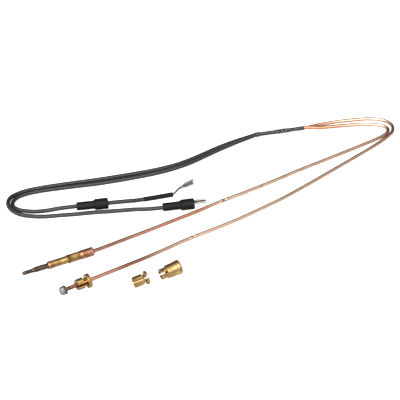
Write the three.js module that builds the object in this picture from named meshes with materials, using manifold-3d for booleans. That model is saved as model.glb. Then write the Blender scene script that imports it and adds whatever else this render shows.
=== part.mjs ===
// Interrupted gas thermocouple, laid out on a flat surface with its two spare fittings.
// Millimetres, +Z up, the surface is z = 0. Two copper leads run side by side to a hairpin and back
// to a joint under black shrink sleeve. There each inner conductor goes over to a black sleeved wire.
import * as THREE from "three";
import { mergeVertices } from "three/addons/utils/BufferGeometryUtils.js";
import Module from "manifold-3d";

const wasm = await Module();
wasm.setup();

// ---- driving dimensions ----
const GAP = 0.3; // between pieces that touch on the real object
const LEAD_RADIUS = 1.6;
const LEAD_BORE = 1.15;
const LEAD_CORE = 0.75;
const WIRE_RADIUS = 1.8; // braided sleeving
const WIRE_BORE = 1.2;
const WIRE_CORE = 0.8;
const END_SLEEVE_RADIUS = 2.4;
const TUBE_SIDES = 8;
const CORE_SIDES = 6;
const TURNED_SIDES = 24;

const SENSOR = { x: -140.4, y: -80.4, z: 3.85, yaw: 25.4 }; // front face of the brass sleeve
const MAGNET = { x: -128.3, y: -112.6, z: 6.0, yaw: 30 }; // contact face of the button
const JOINT = { x: 57.3, y: 92.7, z: 3.8, yaw: 12.5, roll: -40 }; // middle of the shrink sleeve
const COVER_A = { x: -107.8, y: -7.4, z: 4.8, yaw: 9 }; // middle of the cover on wire A
const COVER_B = { x: -34.3, y: -8.2, z: 4.8, yaw: 10 }; // middle of the cover on wire B
const TERMINAL_A = { x: -32.8, y: 17.2, z: 2.95, yaw: 33.5, roll: 70 }; // rear of its crimp barrel
const LOOSE_NUT = { x: -69.9, y: -101.2, yaw: 25.5, roll: 34 };
const ADAPTOR = { x: -48.2, y: -92.3, yaw: 28.6, roll: 42 };

const LEAD_SPACING = 1.8; // half the distance between the two leads in the joint
const WIRE_SPACING = 2.0; // the same for the two wires
const LEAD_END = 8; // where the copper leads stop, from the joint's middle
const WIRE_END = -21.2; // where the sleeving of the wires stops
const COLLAR_EXIT = -24; // where the wires begin to bend
const FERRULE_END = 15.7; // from the contact face
const SENSOR_LEAD_START = 14; // from the sleeve's front face
const TERMINAL_LENGTH = 13.3;
const TERMINAL_B = [10.9, 1.3, 1.2]; // rear of its crimp barrel, in the frame of cover B
const CRIMP = 3.2; // length of a crimp barrel

const NUT = {
  barrel: 4.75, length: 6.2, neck: 3.2, neckLength: 2.9, head: 6, headLength: 3.2, bore: 1.95, slot: 3.6,
};
const SPARE = {
  barrel: 4.7, length: 8.2, neck: 3.3, neckLength: 2.4, head: 5.75, headLength: 2.3, bore: 1.95, slot: 1.5,
};
const NUT_START = 14.6; // front of the gland nut's barrel, from the contact face

// ---- materials ----
function finish(color, roughness, metalness) {
  return new THREE.MeshStandardMaterial({ color, roughness, metalness });
}
const MATERIALS = {
  copper: finish(0xc9876a, 0.3, 1),
  brass: finish(0xc9a456, 0.28, 1),
  steel: finish(0x4a423c, 0.5, 0.8),
  tinned: finish(0xc9c9c6, 0.35, 1),
  washer: finish(0x3f4034, 0.8, 0),
  insulation: finish(0xd9d4c6, 0.8, 0),
  shrink: finish(0x1b1a1b, 0.3, 0),
  sleeving: finish(0x3a3736, 0.65, 0),
  cover: finish(0x121212, 0.7, 0),
  solder: finish(0x8d8d8a, 0.45, 1),
};

// ---- frames and shapes ----
const rad = THREE.MathUtils.degToRad;

// A group at a place, turned about Z, then rolled about its own X, which is its long axis.
function frame({ x, y, z = 0, yaw = 0, pitch = 0, roll = 0 }) {
  const group = new THREE.Group();
  group.position.set(x, y, z);
  group.rotation.set(rad(roll), rad(pitch), rad(yaw), "ZYX");
  group.updateMatrix();
  return group;
}

// The place of a point given in a frame.
function pointIn(place, x, y = 0, z = 0) {
  return new THREE.Vector3(x, y, z).applyMatrix4(frame(place).matrix).toArray();
}

// A fitting with two rims, radius r1 at x1 and r2 at x2, tipped so that it lies on both.
function lyingOnRims(place, x1, r1, x2, r2) {
  const tip = Math.atan2(r2 - r1, x2 - x1);
  const z = r1 * Math.cos(tip) - x1 * Math.sin(tip);
  return { ...place, z, pitch: -THREE.MathUtils.radToDeg(tip) };
}

// A solid turned about the X axis; points are [x, radius], from front to back.
function turned(points, sides = TURNED_SIDES) {
  const profile = points.map(([x, radius]) => new THREE.Vector2(radius, x));
  return new THREE.LatheGeometry(profile, sides).rotateZ(-Math.PI / 2);
}

// A turned ring or sleeve: the outer profile, then the bore's profile, both front to back.
function sleeve(outer, bore, sides = TURNED_SIDES) {
  return turned([...outer, ...bore.toReversed(), outer[0]], sides);
}

function ring(x1, x2, outer, bore, sides = TURNED_SIDES) {
  return sleeve([[x1, outer], [x2, outer]], [[x1, bore], [x2, bore]], sides);
}

function rod(x1, x2, radius, sides = CORE_SIDES) {
  return turned([[x1, 0], [x1, radius], [x2, radius], [x2, 0]], sides);
}

function box(x1, x2, y1, y2, z1, z2) {
  const size = new THREE.BoxGeometry(x2 - x1, y2 - y1, z2 - z1);
  return size.translate((x1 + x2) / 2, (y1 + y2) / 2, (z1 + z2) / 2);
}

// A curve through points whose even steps are the points themselves, so bends get more sections.
class RoutePath extends THREE.CatmullRomCurve3 {
  getPointAt(u, target) {
    return this.getPoint(u, target);
  }

  getTangentAt(u, target) {
    return this.getTangent(u, target);
  }
}

function polygon(radius, sides) {
  return Array.from({ length: sides }, (_, i) => {
    const angle = (2 * Math.PI * i) / sides;
    return new THREE.Vector2(radius * Math.cos(angle), radius * Math.sin(angle));
  });
}

// A tube or rod along a list of points, with one section at each point.
function along(route, radius, bore = 0, sides = TUBE_SIDES) {
  const path = new RoutePath(route.map((p) => new THREE.Vector3(...p)), false, "centripetal");
  const section = new THREE.Shape(polygon(radius, sides));
  if (bore > 0) section.holes.push(new THREE.Path(polygon(bore, CORE_SIDES)));
  return new THREE.ExtrudeGeometry(section, { steps: route.length - 1, extrudePath: path });
}

// ---- booleans ----
function toSolid(geometry) {
  const bare = new THREE.BufferGeometry();
  const flat = geometry.index ? geometry.toNonIndexed() : geometry;
  bare.setAttribute("position", flat.getAttribute("position").clone());
  const merged = mergeVertices(bare, 1e-4);
  return new wasm.Manifold(
    new wasm.Mesh({
      numProp: 3,
      vertProperties: new Float32Array(merged.attributes.position.array),
      triVerts: new Uint32Array(merged.index.array),
    }),
  );
}

function toGeometry(solid) {
  const mesh = solid.getMesh();
  const geometry = new THREE.BufferGeometry();
  geometry.setAttribute("position", new THREE.BufferAttribute(mesh.vertProperties, 3));
  geometry.setIndex(new THREE.BufferAttribute(mesh.triVerts, 1));
  return geometry;
}

function cut(geometry, ...tools) {
  return toGeometry(tools.reduce((solid, tool) => solid.subtract(toSolid(tool)), toSolid(geometry)));
}

function join(...pieces) {
  return toGeometry(pieces.map(toSolid).reduce((solid, piece) => solid.add(piece)));
}

// ---- routes of the leads and wires ----
const jointPoint = (x, y) => pointIn(JOINT, x, y);
const sensorPoint = (x) => pointIn(SENSOR, x);
const magnetPoint = (x) => pointIn(MAGNET, x);
const coverPointA = (x) => pointIn(COVER_A, x);
const coverPointB = (x, y, z) => pointIn(COVER_B, x, y, z);

const SENSOR_LEAD = [
  sensorPoint(SENSOR_LEAD_START), sensorPoint(41),
  [-97.5, -59.4, 3.4], [-90, -54.6, 2.9], [-81.5, -49.1, 2.3], [-73, -43.8, 1.8], [-55.5, -33.7, 1.6],
  [-36.3, -22.7, 1.6], [-19.4, -12.8, 1.6], [1.2, 0, 1.6], [22, 11.6, 1.6], [45, 25.2, 1.6],
  [72, 41.9, 1.6], [94, 54.9, 1.6], [116, 67.8, 1.6], [131, 76.8, 1.6], [142, 83.8, 1.6],
  [148.8, 88.6, 1.6], [152.4, 92.3, 1.6], [154.1, 96, 1.6], [153.8, 99.2, 1.6], [151, 102, 1.7],
  [145.5, 103.8, 1.8], [133, 104.5, 2.1], [118, 102.6, 2.5], [103.6, 99.8, 3.2], [91, 97.4, 3.9],
  jointPoint(24, -LEAD_SPACING), jointPoint(LEAD_END, -LEAD_SPACING),
];

const MAGNET_LEAD = [
  magnetPoint(FERRULE_END + GAP), magnetPoint(50),
  [-78, -83.2, 5.7], [-71, -78, 4.7], [-64, -72.9, 3.6], [-55, -66.3, 2.6], [-46, -59.9, 1.9],
  [-26, -46.6, 1.6], [-6, -35.3, 1.6], [14.5, -23.3, 1.6], [35.2, -9.6, 1.6], [56.3, 5.2, 1.6],
  [77.8, 22.4, 1.6], [100, 40.9, 1.6], [122.4, 59.6, 1.6], [137.7, 72.7, 1.6], [147.4, 81.7, 1.6],
  [153.9, 88.6, 1.6], [157.6, 94.1, 1.6], [158.8, 99.1, 1.6], [158.1, 104.1, 1.6], [155, 108.3, 1.6],
  [149, 111.6, 1.6], [138.2, 113, 1.6], [119, 110.6, 1.6], [104, 107.6, 1.6], [91.2, 103.8, 1.9],
  jointPoint(24, LEAD_SPACING), jointPoint(LEAD_END, LEAD_SPACING),
];

const WIRE_A = [
  jointPoint(WIRE_END, -WIRE_SPACING), jointPoint(COLLAR_EXIT, -WIRE_SPACING),
  [29.5, 83.3, 4.8], [24, 80.4, 4.6], [13.5, 74.2, 4.4],
  [3, 67.5, 4.2], [-8, 60.1, 4], [-18.5, 52.7, 3.8], [-29, 46.2, 3.6], [-40, 41, 3.3],
  [-54, 35.9, 2.9], [-68, 32, 2.5], [-85.5, 27.6, 2.1], [-104.5, 23.3, 1.8], [-123.5, 19.8, 1.8],
  [-140.5, 16.5, 1.8], [-154, 13.5, 1.8], [-164, 10.4, 1.8], [-171, 6.8, 1.8], [-175, 2.6, 1.8],
  [-176.6, -2.2, 1.8], [-175.2, -7, 1.8], [-171, -10.3, 1.8], [-163.5, -12.2, 1.8],
  [-155.5, -12.9, 2], [-145, -12.9, 3.4], coverPointA(-27), coverPointA(29),
  [-73, -1.4, 4.1], [-64.5, 1.6, 2.9], [-57.5, 3.8, 2.4], [-49.5, 5.9, 2.4], [-40.6, 8.2, 2.4],
];
const WIRE_A_TAIL = [
  [-38.6, 9.6, 2.4], [-36.9, 11.9, 2.7], [-35.2, 14.1, 2.95], pointIn(TERMINAL_A, 0.5),
  pointIn(TERMINAL_A, CRIMP - 1),
];

const WIRE_B = [
  jointPoint(WIRE_END, WIRE_SPACING), jointPoint(COLLAR_EXIT, WIRE_SPACING),
  [28.5, 86.8, 2.1], [22.8, 84.3, 1.9], [12, 78.9, 1.8],
  [1, 72.5, 1.8], [-10, 65.2, 1.8], [-20.5, 58.1, 1.8], [-31, 51.6, 1.8], [-41.5, 46.6, 1.8],
  [-55.5, 41.5, 1.8], [-69, 37.6, 1.8], [-86.5, 33.2, 1.8], [-105.5, 28.5, 1.8],
  [-124.5, 24.6, 1.8], [-141.5, 20.9, 1.8], [-155, 17.5, 1.8], [-166, 13.9, 1.9],
  [-173, 9.9, 2.2], [-178, 5, 2.8], [-180.2, -1.5, 3.4], [-179.4, -7.4, 3.4], [-175.8, -12.6, 2.8],
  [-169, -16.6, 2.1], [-160, -18.5, 1.8], [-148, -19, 1.8], [-135, -17.5, 1.8],
  [-120.5, -15.9, 1.8], [-107, -13.9, 1.8], [-94.5, -12.7, 1.8], [-83, -11.8, 2.2],
  [-71, -12.1, 3.8], coverPointB(-26), coverPointB(1), coverPointB(8.8, 1.2, 1.1),
];
const WIRE_B_TAIL = [coverPointB(TERMINAL_B[0] + CRIMP - 1, TERMINAL_B[1], TERMINAL_B[2])];

// ---- the kit ----
const kit = new THREE.Group();

function add(group, name, material, geometry) {
  const mesh = new THREE.Mesh(geometry, MATERIALS[material]);
  mesh.name = name;
  group.add(mesh);
}

function addProbe() {
  const probe = frame(SENSOR);
  const rodRadius = 1.6;
  const sheathRadius = 2.25;
  const sheathBore = 1.4;
  const shoulder = -10;
  add(probe, "hot_junction_tip", "steel", turned([
    [-22.3, 0], [-22.1, 0.8], [-21.5, 1.35], [-20.7, rodRadius], [-13.6, rodRadius],
    [-13.6, 1.1], [-12.4, 1.1], [-12.4, 0],
  ], 16));
  add(probe, "probe_sheath", "steel", sleeve(
    [[shoulder - 3.3, 1.8], [shoulder, sheathRadius], [12, sheathRadius]],
    [[shoulder - 3.3, sheathBore], [12, sheathBore]],
    16,
  ));
  add(probe, "probe_insulator", "insulation", ring(-12, 11, 1.1, 0.8, 10));
  add(probe, "thermo_element_wire", "solder", rod(-12.2, 13.4, 0.5));
  kit.add(probe);
}

function addSensorSleeve() {
  const sensor = frame(SENSOR);
  const leadBore = LEAD_RADIUS + GAP;
  const body = 3.2;
  const spigot = 2.5;
  const ringRadius = 3.8;
  const waist = 3.6;
  const flat = 3.35; // from the axis to a flat of the waist
  const collarStart = 17.6;
  const collarEnd = 39.6;
  add(sensor, "sensor_sleeve", "brass", sleeve(
    [[0, body - 0.2], [0.2, body], [collarStart - GAP, body], [collarStart - GAP, spigot], [25, spigot]],
    [[0, 2.55], [12.5, 2.55], [12.5, leadBore], [25, leadBore]],
  ));
  const collar = sleeve(
    [[collarStart, ringRadius], [18.5, ringRadius], [18.5, waist], [29.3, waist], [29.3, ringRadius],
      [collarEnd - 0.2, ringRadius], [collarEnd, ringRadius - 0.2]],
    [[collarStart, spigot + GAP], [25.6, spigot + GAP], [25.6, leadBore], [collarEnd, leadBore]],
  );
  const flats = [0, 1, 2, 3, 4, 5].map((i) => (
    box(19.2, 28.6, -3, 3, flat, 5).rotateX(rad(60 * i))
  ));
  add(sensor, "sensor_collar", "brass", cut(collar, ...flats));
  add(sensor, "lead_seal", "steel", ring(collarEnd + GAP, 41, 2.3, leadBore, 12));
  kit.add(sensor);
}

function addLeads() {
  add(kit, "sensor_lead_tube", "copper", along(SENSOR_LEAD, LEAD_RADIUS, LEAD_BORE));
  add(kit, "magnet_lead_tube", "copper", along(MAGNET_LEAD, LEAD_RADIUS, LEAD_BORE));
  const sensorCore = [...SENSOR_LEAD, jointPoint(GAP, -LEAD_SPACING)];
  const magnetCore = [magnetPoint(2.9), ...MAGNET_LEAD, jointPoint(GAP, LEAD_SPACING)];
  add(kit, "sensor_lead_conductor", "insulation", along(sensorCore, LEAD_CORE, 0, CORE_SIDES));
  add(kit, "magnet_lead_conductor", "insulation", along(magnetCore, LEAD_CORE, 0, CORE_SIDES));
}

// A turned nut with a slit along its barrel and neck, which faces +Z.
function splitNut({ barrel, length, neck, neckLength, head, headLength, bore, slot }) {
  const headStart = length + neckLength;
  const end = headStart + headLength;
  const body = sleeve(
    [[0, barrel - 0.5], [0.5, barrel], [length, barrel], [length, neck], [headStart, neck],
      [headStart, head], [end - 0.3, head], [end, head - 0.3]],
    [[0, bore], [end, bore]],
  );
  return cut(body, box(-1, headStart, -slot / 2, slot / 2, 0, head + 1));
}

function addMagnetEnd() {
  const magnet = frame(MAGNET);
  add(magnet, "contact_button", "tinned", turned([
    [0, 0], [0, 1.5], [0.4, 2.7], [1.2, 3.4], [2.2, 3.7], [3.6, 3.7], [4, 3.4],
    [4, 1.1], [2.5, 1.1], [2.5, 0],
  ]));
  add(magnet, "insulating_washer", "washer", ring(4.3, 5.3, 3.5, 1.1, 20));
  add(magnet, "lead_ferrule", "copper", ring(5.6, FERRULE_END, LEAD_RADIUS, LEAD_CORE + GAP, 12));
  kit.add(magnet);
  const nut = frame({ ...MAGNET, roll: 52 });
  add(nut, "gland_nut", "brass", splitNut(NUT).translate(NUT_START, 0, 0));
  kit.add(nut);
}

function extrude(section, depth) {
  return new THREE.ExtrudeGeometry(section, { depth, bevelEnabled: false, curveSegments: 8 });
}

function stadium(halfLength, radius) {
  const shape = new THREE.Shape();
  shape.absarc(0, halfLength, radius, 0, Math.PI, false);
  shape.absarc(0, -halfLength, radius, Math.PI, 2 * Math.PI, false);
  return shape;
}

// An oval sleeve round two leads, along X from x1 to x2.
function ovalSleeve(x1, x2, spacing, bore, wall) {
  const section = stadium(spacing, bore + wall);
  section.holes.push(stadium(spacing, bore));
  const solid = extrude(section, x2 - x1);
  return solid.rotateY(Math.PI / 2).translate(x1, 0, 0);
}

function addJoint() {
  const joint = frame(JOINT);
  const wall = 0.4;
  const leadBore = LEAD_RADIUS + GAP;
  const wireBore = WIRE_RADIUS + GAP;
  add(joint, "joint_shrink_sleeve", "shrink", ovalSleeve(-20.6, 20.7, LEAD_SPACING, leadBore, wall));
  add(joint, "joint_end_collar", "shrink", ovalSleeve(-23.4, -20.9, WIRE_SPACING, wireBore, wall));
  for (const [name, side] of [["sensor_splice", -1], ["magnet_splice", 1]]) {
    add(joint, name, "tinned", ring(-5.5, 5.5, 1.2, 0.95, 12).translate(0, side * LEAD_SPACING, 0));
  }
  add(joint, "splice_separator", "insulation", box(-6, 6, -0.15, 0.15, -1.4, 1.4));
  add(joint, "earth_bridge", "solder", rod(11, 17, 0.32, 8).translate(0, 0, 1.26));
  kit.add(joint);
}

function addWires() {
  const splicedA = [-GAP, -7].map((x) => jointPoint(x, -LEAD_SPACING));
  const splicedB = [-GAP, -7].map((x) => jointPoint(x, LEAD_SPACING));
  add(kit, "wire_a_sleeving", "sleeving", along(WIRE_A, WIRE_RADIUS, WIRE_BORE));
  add(kit, "wire_b_sleeving", "sleeving", along(WIRE_B, WIRE_RADIUS, WIRE_BORE));
  const coreA = [...splicedA, jointPoint(-15, -WIRE_SPACING), ...WIRE_A, ...WIRE_A_TAIL];
  const coreB = [...splicedB, jointPoint(-15, WIRE_SPACING), ...WIRE_B, ...WIRE_B_TAIL];
  add(kit, "wire_a_conductor", "insulation", along(coreA, WIRE_CORE, 0, CORE_SIDES));
  add(kit, "wire_b_conductor", "insulation", along(coreB, WIRE_CORE, 0, CORE_SIDES));
  const endSleeve = [...WIRE_A.slice(-4), [-39.4, 8.5, 2.4]];
  add(kit, "wire_a_end_sleeve", "cover", along(endSleeve, END_SLEEVE_RADIUS, END_SLEEVE_RADIUS - 0.2));
}

// A push-on receptacle along X: a crimp barrel, a neck, and a floor whose two edges roll inwards.
function receptacle() {
  const length = 8.8;
  const plate = 0.35;
  const bottom = -1.3;
  const roll = 0.9;
  const centre = 1.6;
  const section = new THREE.Shape();
  section.absarc(centre, roll, roll, -Math.PI / 2, rad(195), false);
  section.absarc(centre, roll, roll - plate, rad(195), -Math.PI / 2, true);
  section.absarc(-centre, roll, roll - plate, -Math.PI / 2, rad(-15), true);
  section.absarc(-centre, roll, roll, rad(-15), -Math.PI / 2, false);
  const body = extrude(section, length);
  body.rotateX(Math.PI / 2).rotateZ(Math.PI / 2).translate(TERMINAL_LENGTH - length, 0, bottom);
  const neck = box(CRIMP - 1, TERMINAL_LENGTH - length + 1, -0.9, 0.9, bottom, bottom + plate);
  const barrel = ring(0, CRIMP, 1.3, 0.95, 12);
  return join(body, neck, barrel);
}

function addTerminals() {
  const terminalA = frame(TERMINAL_A);
  add(terminalA, "terminal_a", "tinned", receptacle());
  kit.add(terminalA);
  const terminalB = frame(COVER_B);
  add(terminalB, "terminal_b", "tinned", receptacle().translate(...TERMINAL_B));
  kit.add(terminalB);
}

// An insulating boot: a narrow end that grips the wire and a wide end for the terminal.
function terminalCover() {
  const half = 13.5;
  const step = 1.1; // start of the shoulder, from the middle
  return sleeve(
    [[-half, 3.3], [-half + 0.3, 3.6], [step, 3.6], [step + 1.6, 4.8], [half - 0.3, 4.8], [half, 4.5]],
    [[-half, 2.3], [step - 0.5, 2.3], [step + 1.3, 4], [half, 4]],
    20,
  );
}

function addCovers() {
  for (const [name, place] of [["terminal_cover_a", COVER_A], ["terminal_cover_b", COVER_B]]) {
    const cover = frame(place);
    add(cover, name, "cover", terminalCover());
    kit.add(cover);
  }
}

function addLooseNut() {
  const headStart = SPARE.length + SPARE.neckLength;
  const nut = frame(lyingOnRims(LOOSE_NUT, 0.5, SPARE.barrel, headStart, SPARE.head));
  const driverSlot = box(headStart - 0.4, headStart + SPARE.headLength + 1, -1.1, 1.1, -7, 7);
  add(nut, "loose_split_nut", "brass", cut(splitNut(SPARE), driverSlot));
  kit.add(nut);
}

function addAdaptor() {
  const bore = 2.7;
  const fingers = 5.6;
  const lip = 4.7;
  const shoulder = 5.55;
  const rim = 6.1;
  const rimStart = 15.4;
  const end = 18;
  const body = sleeve(
    [[0, lip - 0.4], [0.4, lip], [1.4, lip], [1.8, 4.4], [fingers, 4.6], [fingers, shoulder],
      [rimStart, 5.9], [rimStart, rim], [end - 0.6, rim], [end, rim - 0.6]],
    [[0, bore], [12, bore], [12, 3.5], [end, 3.5]],
  );
  const slits = [0, 90].flatMap((angle) => {
    const slit = box(-1, fingers - 1, -0.6, 0.6, -5, 5);
    const hole = new THREE.CylinderGeometry(1, 1, 10, 12).rotateX(Math.PI / 2);
    return [slit.rotateX(rad(angle)), hole.translate(fingers - 1, 0, 0).rotateX(rad(angle))];
  });
  const adaptor = frame(lyingOnRims(ADAPTOR, fingers, shoulder, rimStart, rim));
  add(adaptor, "adaptor_bush", "brass", cut(body, ...slits));
  kit.add(adaptor);
}

addProbe();
addSensorSleeve();
addLeads();
addMagnetEnd();
addJoint();
addWires();
addTerminals();
addCovers();
addLooseNut();
addAdaptor();

export default kit;
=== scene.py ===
"""A boiler thermocouple kit, laid out flat.

It has a probe in a brass sleeve and a contact button, each on a copper lead, a shrink-sleeved joint, two
sleeved wires with their receptacles and covers, a loose split nut and an adaptor bush.

Fittings are made in their own frames in millimetres, +X along their axis, and put in place by a matrix.
"""
import math

import bmesh
import bpy
import numpy as np
from mathutils import Euler, Matrix, Vector, noise


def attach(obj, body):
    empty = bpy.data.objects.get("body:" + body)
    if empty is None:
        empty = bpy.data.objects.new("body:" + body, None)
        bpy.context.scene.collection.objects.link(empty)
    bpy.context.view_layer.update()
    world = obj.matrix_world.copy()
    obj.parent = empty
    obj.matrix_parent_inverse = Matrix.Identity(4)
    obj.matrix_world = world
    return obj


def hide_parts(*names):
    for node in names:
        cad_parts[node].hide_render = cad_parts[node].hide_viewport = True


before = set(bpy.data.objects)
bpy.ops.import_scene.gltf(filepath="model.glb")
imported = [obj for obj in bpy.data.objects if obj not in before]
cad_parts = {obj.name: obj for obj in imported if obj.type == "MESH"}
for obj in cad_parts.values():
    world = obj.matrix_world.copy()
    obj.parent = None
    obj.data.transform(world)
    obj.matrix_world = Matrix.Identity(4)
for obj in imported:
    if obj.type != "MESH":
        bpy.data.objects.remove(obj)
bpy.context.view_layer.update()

MM = 0.001  # one millimetre, in metres
SHARP_ANGLE = 35  # degrees between two faces from which their edge is sharp
WELD_REACH = 1e-7  # metres; vertices nearer than this are one
ON_AXIS = 0.01  # millimetres; a profile point nearer to the axis than this needs no cap
SPAN_SAMPLES = 24  # points worked out between two points of a route

# ---- dimensions that more than one piece uses, millimetres ----
GAP = 0.3  # between the ferrule and the tube of its lead
LEAD_RADIUS = 1.6
WIRE_RADIUS = 1.8
FERRULE_END = 15.7
END_SLEEVE_RADIUS = 2.08
END_SLEEVE_LENGTH = 27.5
TERMINAL_B_START = (10.9, 1.3, 1.2)
CRIMP = 3.2
ROLL_BOTTOM = -1.3  # the underside of a receptacle's floor
STRIP = 0.35  # the receptacles' sheet metal

# along the joint's own X, and half the distance between two leads or wires in it
LEAD_SPACING = 1.8
WIRE_SPACING = 2.0
LEAD_END = 8
LEAD_EXIT = 24
SLEEVE_BACK = -20.6
SLEEVE_FRONT = 20.7
WIRE_END = -21.2
WIRE_EXIT = -24

# how a kink in a lead looks, as shares of its radius, and its half width in metres
KINK_DEPTH = 0.22
KINK_SHOULDER = 0.12
KINK_HALF_WIDTH = 0.0011
SENSOR_KINK = 0.153  # metres along the lead
MAGNET_KINK = 0.1115


# ---- camera, light and floor ----
TARGET = Vector((-0.016, 0.004, 0.0))
DISTANCE = 1.31
ELEVATION = math.radians(42)
LENS = 137
SENSOR_WIDTH = 36
ROOM_LIGHT = Vector((-0.1, -0.6, 0.79)).normalized()
ROOM_STRENGTH = 3.6
FLOOR_SIDE = 3.0


def linked(name, data):
    """A new object with this data, in the scene."""
    made = bpy.data.objects.new(name, data)
    bpy.context.scene.collection.objects.link(made)
    return made


def add_camera():
    data = bpy.data.cameras.new("camera")
    data.lens = LENS
    data.sensor_width = SENSOR_WIDTH
    camera = linked("camera", data)
    away = Vector((0, -math.cos(ELEVATION), math.sin(ELEVATION)))
    camera.location = TARGET + away * DISTANCE
    camera.rotation_euler = (-away).to_track_quat("-Z", "Y").to_euler()
    bpy.context.scene.camera = camera


def add_light(name, location, size, watts):
    data = bpy.data.lights.new(name, "AREA")
    data.shape = "RECTANGLE"
    data.size, data.size_y = size
    data.energy = watts
    light = linked(name, data)
    light.location = location
    light.rotation_euler = (TARGET - Vector(location)).to_track_quat("-Z", "Y").to_euler()


def add_world():
    """A room that is bright above the camera and dark behind the object, so round metal shows its edges."""
    world = bpy.data.worlds.new("studio")
    bpy.context.scene.world = world
    world.use_nodes = True
    nodes, links = world.node_tree.nodes, world.node_tree.links
    background = nodes["Background"]
    direction = nodes.new("ShaderNodeTexCoord")
    towards = nodes.new("ShaderNodeVectorMath")
    towards.operation = "DOT_PRODUCT"
    towards.inputs[1].default_value = ROOM_LIGHT
    ramp = nodes.new("ShaderNodeValToRGB")
    links.new(direction.outputs["Generated"], towards.inputs[0])
    links.new(towards.outputs["Value"], ramp.inputs["Fac"])
    links.new(ramp.outputs["Color"], background.inputs["Color"])
    elements = ramp.color_ramp.elements
    elements[0].position = 0.1
    elements[0].color = (0.03, 0.03, 0.03, 1)
    elements[1].position = 0.93
    elements[1].color = (1, 1, 1, 1)
    middle = elements.new(0.72)
    middle.color = (0.24, 0.24, 0.24, 1)
    background.inputs["Strength"].default_value = ROOM_STRENGTH


# ---- shapes ----
def place(x, y, z, yaw, pitch=0.0, roll=0.0):
    """The matrix from a fitting's own frame, in millimetres, to the row frame, in metres."""
    turn = Euler([math.radians(a) for a in (roll, pitch, yaw)], "XYZ").to_matrix().to_4x4()
    return Matrix.Scale(MM, 4) @ Matrix.Translation((x, y, z)) @ turn


def lying_on_rims(x, y, yaw, roll, x1, r1, x2, r2):
    """The place of a fitting that lies on two rims, radius r1 at x1 and r2 at x2."""
    tip = math.atan2(r2 - r1, x2 - x1)
    z = r1 * math.cos(tip) - x1 * math.sin(tip)
    return place(x, y, z, yaw, -math.degrees(tip), roll)


def face_outward(mesh, weld=False):
    """Turns every face outward, and first joins the vertices that lie on each other if weld is true."""
    work = bmesh.new()
    work.from_mesh(mesh)
    if weld:
        bmesh.ops.remove_doubles(work, verts=work.verts, dist=WELD_REACH)
    bmesh.ops.recalc_face_normals(work, faces=work.faces)
    work.to_mesh(mesh)
    work.free()


def piece(
    name, vertices, faces, material, body, nodes=(), matrix=None, uv=None, sharp=SHARP_ANGLE
):
    """A mesh object with its material, riding on its body and standing for its CAD nodes."""
    mesh = bpy.data.meshes.new(name)
    mesh.from_pydata([tuple(v) for v in vertices], [], faces)
    if matrix is not None:
        mesh.transform(matrix)
    if uv is not None:
        layer = mesh.uv_layers.new(name="UVMap")
        corners = np.empty(len(mesh.loops), dtype=np.int32)
        mesh.loops.foreach_get("vertex_index", corners)
        layer.data.foreach_set("uv", np.asarray(uv, float)[corners].ravel())
    face_outward(mesh)
    mesh.shade_smooth()
    mesh.set_sharp_from_angle(angle=math.radians(sharp))
    mesh.materials.append(material)
    made = linked(name, mesh)
    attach(made, body)
    if nodes:
        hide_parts(*nodes)
    return made


def grid_faces(rows, columns, wrap_rows=False, wrap_columns=True):
    """Quads between the rows and columns of a grid of vertices, numbered row by row."""
    faces = []
    for i in range(rows if wrap_rows else rows - 1):
        for j in range(columns if wrap_columns else columns - 1):
            a, b = i, (i + 1) % rows
            c, d = j, (j + 1) % columns
            faces.append((a * columns + c, a * columns + d, b * columns + d, b * columns + c))
    return faces


def softened(profile, radius, steps=3):
    """A profile of (x, radius) points with its corners rounded."""
    points = [Vector(p) for p in profile]
    out = [points[0]]
    for before, corner, after in zip(points, points[1:], points[2:]):
        back, ahead = before - corner, after - corner
        reach = min(radius, 0.45 * back.length, 0.45 * ahead.length)
        start = corner + back.normalized() * reach
        end = corner + ahead.normalized() * reach
        for k in range(steps + 1):
            t = k / steps
            out.append(start * (1 - t) ** 2 + corner * 2 * t * (1 - t) + end * t * t)
    out.append(points[-1])
    return [(p.x, p.y) for p in out]


def refined(profile, step):
    """The profile with extra points, so that no stretch along X is longer than step."""
    out = [profile[0]]
    for (x1, r1), (x2, r2) in zip(profile, profile[1:]):
        parts = max(1, math.ceil(abs(x2 - x1) / step))
        for k in range(1, parts + 1):
            t = k / parts
            out.append((x1 + (x2 - x1) * t, r1 + (r2 - r1) * t))
    return out


def lathe(outer, bore=None, around=64, shape=None):
    """Vertices and faces of a solid turned about X. shape(x, angle, r) may change the outer radius."""
    profile = [(x, r, shape) for x, r in outer]
    if bore:
        profile += [(x, r, None) for x, r in reversed(bore)]
    vertices = []
    for x, r, change in profile:
        for k in range(around):
            angle = 2 * math.pi * k / around
            radius = change(x, angle, r) if change and r > ON_AXIS else r
            vertices.append((x, radius * math.cos(angle), radius * math.sin(angle)))
    faces = grid_faces(len(profile), around, wrap_rows=bool(bore))
    if not bore:
        for row in (0, len(profile) - 1):
            if profile[row][1] > ON_AXIS:
                faces.append(tuple(range(row * around, (row + 1) * around)))
    return vertices, faces


def thread(start, end, pitch, depth):
    """A helical thread between two places along X, fading out at its ends."""

    def change(x, angle, r):
        if not start < x < end:
            return r
        fade = min(1, (x - start) / pitch, (end - x) / pitch)
        wave = abs(((x / pitch - angle / (2 * math.pi)) % 1) * 2 - 1)
        return r - depth * fade * wave

    return change


# ---- materials ----
def linear(red, green, blue):
    """A colour given as 0 to 255 on screen, as the linear values that shaders take."""
    scaled = [c / 255 for c in (red, green, blue)]
    return tuple(c / 12.92 if c <= 0.04045 else ((c + 0.055) / 1.055) ** 2.4 for c in scaled) + (1.0,)


WHITE = (1, 1, 1, 1)


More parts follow.
